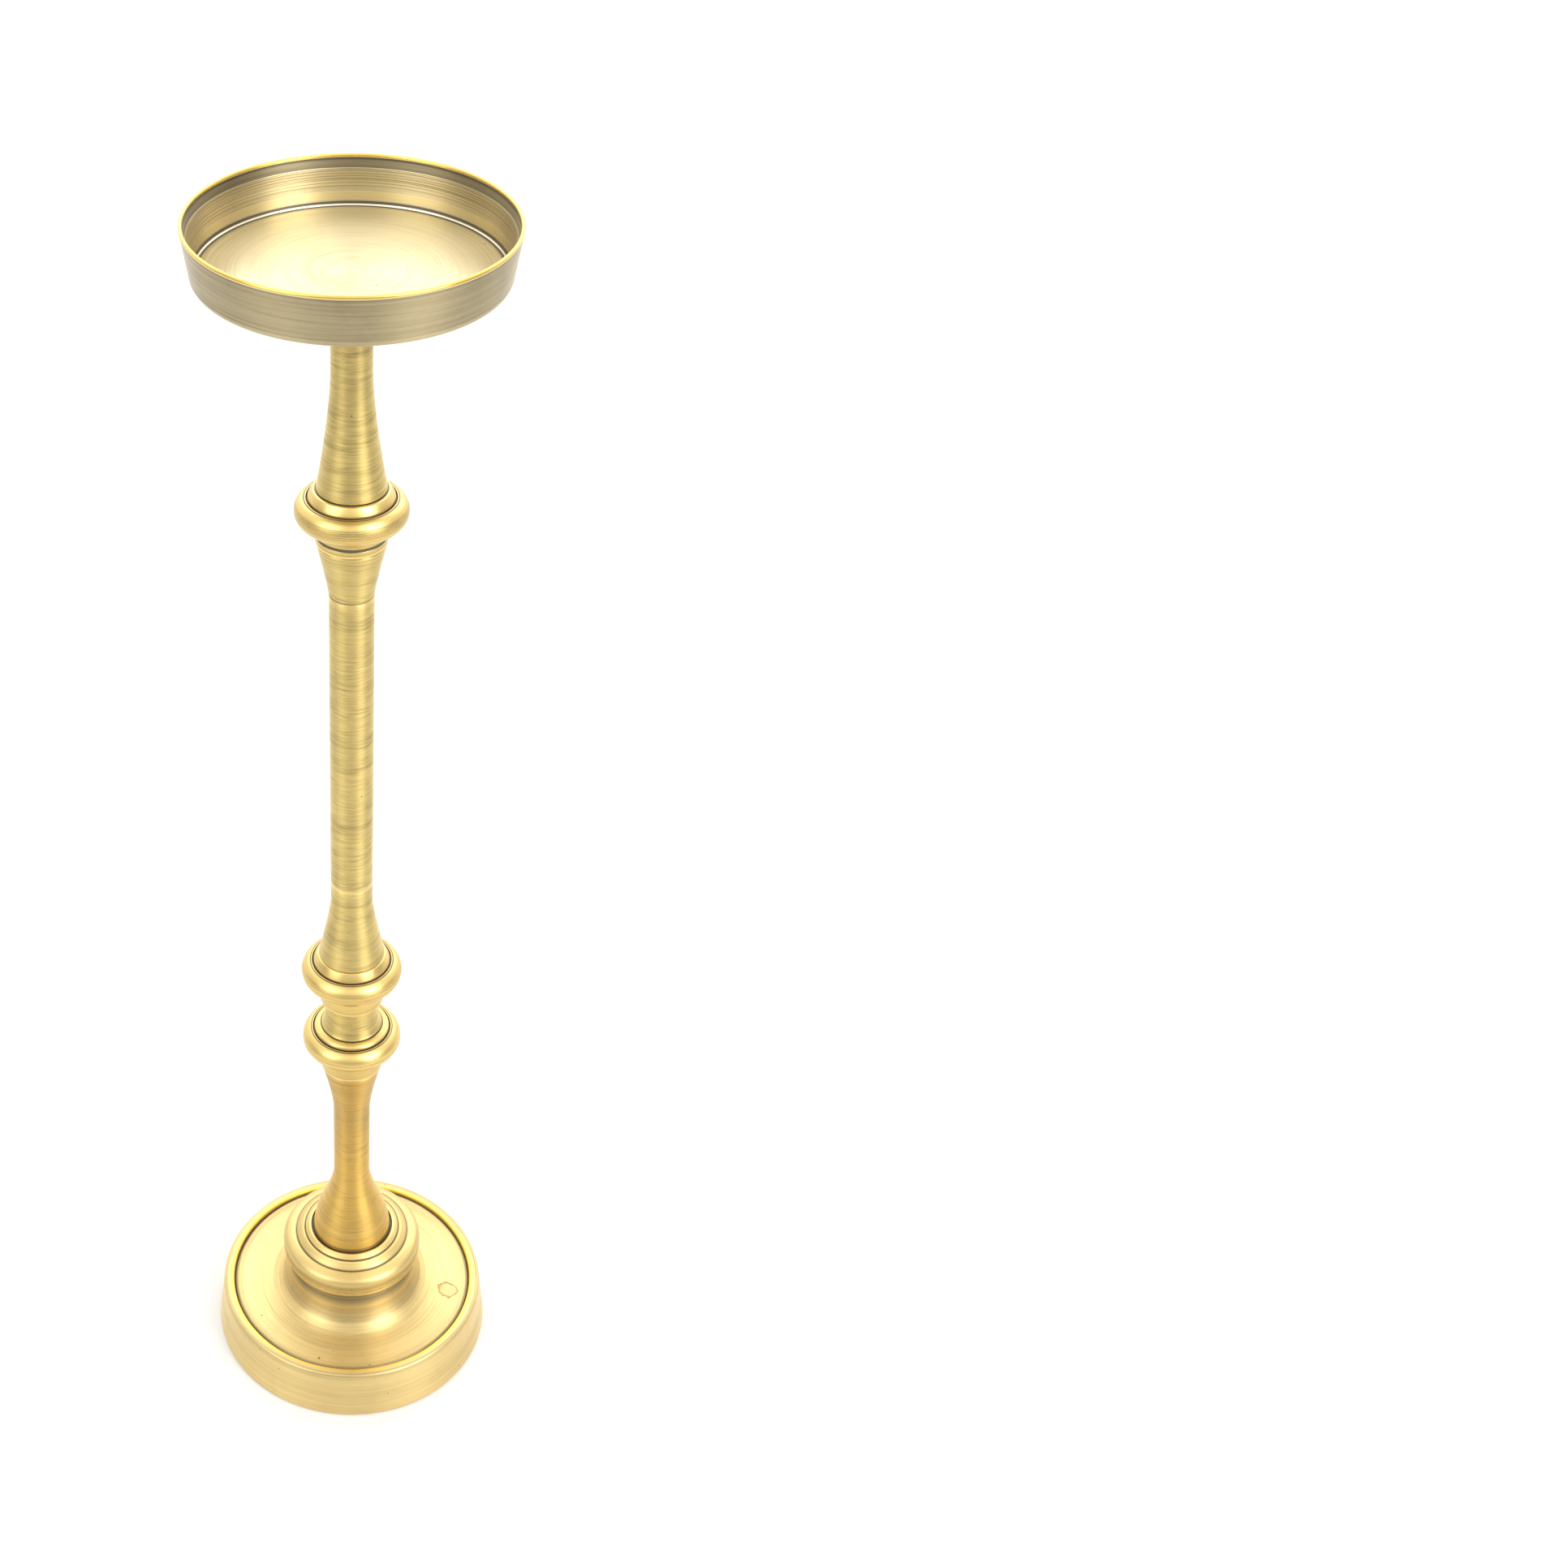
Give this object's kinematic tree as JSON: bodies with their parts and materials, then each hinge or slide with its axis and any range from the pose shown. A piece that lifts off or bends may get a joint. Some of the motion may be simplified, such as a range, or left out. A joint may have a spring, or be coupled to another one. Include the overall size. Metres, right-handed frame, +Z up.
{
  "type": "pillar candle holder",
  "caption": "Tall brass pillar candle holder: a shallow rimmed pan on a turned stem with beaded collars, over a round weighted base.",
  "frame": {"origin": "centre of the foot, on the surface that the holder stands on", "axes": "+Z up along the stem's axis; +X to the right and +Y to the back as seen from the front, though the shape is round and has no front of its own"},
  "size_m": [0.1152, 0.1152, 0.5091],
  "materials": {
    "pan_brass": "brushed antique brass with darker lathe lines",
    "stem_brass": "brushed antique brass",
    "collar_brass": "brushed brass, polished on the beads and dark in the grooves",
    "base_brass": "brushed brass with a bright rim",
    "steel": "zinc-plated",
    "iron": "rough casting",
    "fibre": "pressed fibre",
    "felt": "felt"
  },
  "bodies": {
    "stand": {"upper_stem": "stem_brass", "stem_insert": "steel", "top_collar": "collar_brass", "top_ferrule": "stem_brass", "shaft_tube": "stem_brass", "bottom_ferrule": "stem_brass", "middle_collar": "collar_brass", "spool": "stem_brass", "bottom_collar": "collar_brass", "lower_column": "stem_brass", "base_collar": "collar_brass", "base_dish": "base_brass", "base_skirt": "base_brass", "ballast": "iron", "tie_rod": "steel", "rod_washer": "steel", "spring_washer": "steel", "foot_nut": "steel", "bottom_cover": "steel", "felt_pad": "felt"},
    "washer": {"pan_washer": "fibre"},
    "tray": {"pan": "pan_brass", "pan_stud": "steel"}
  },
  "joints": [
    {"name": "pan_lift", "type": "slide", "parent": "stand", "child": "washer", "axis": [0, 0, 1], "range_m": [0, 0.01126]},
    {"name": "pan_turn", "type": "hinge", "parent": "washer", "child": "tray", "pos_m": [0, 0, 0.49], "axis": [0, 0, 1], "range_deg": [0, 3240]}
  ],
  "couplings": [
    {"joint": "pan_lift", "follows": "pan_turn", "m_per_rad": 0.00019894}
  ]
}
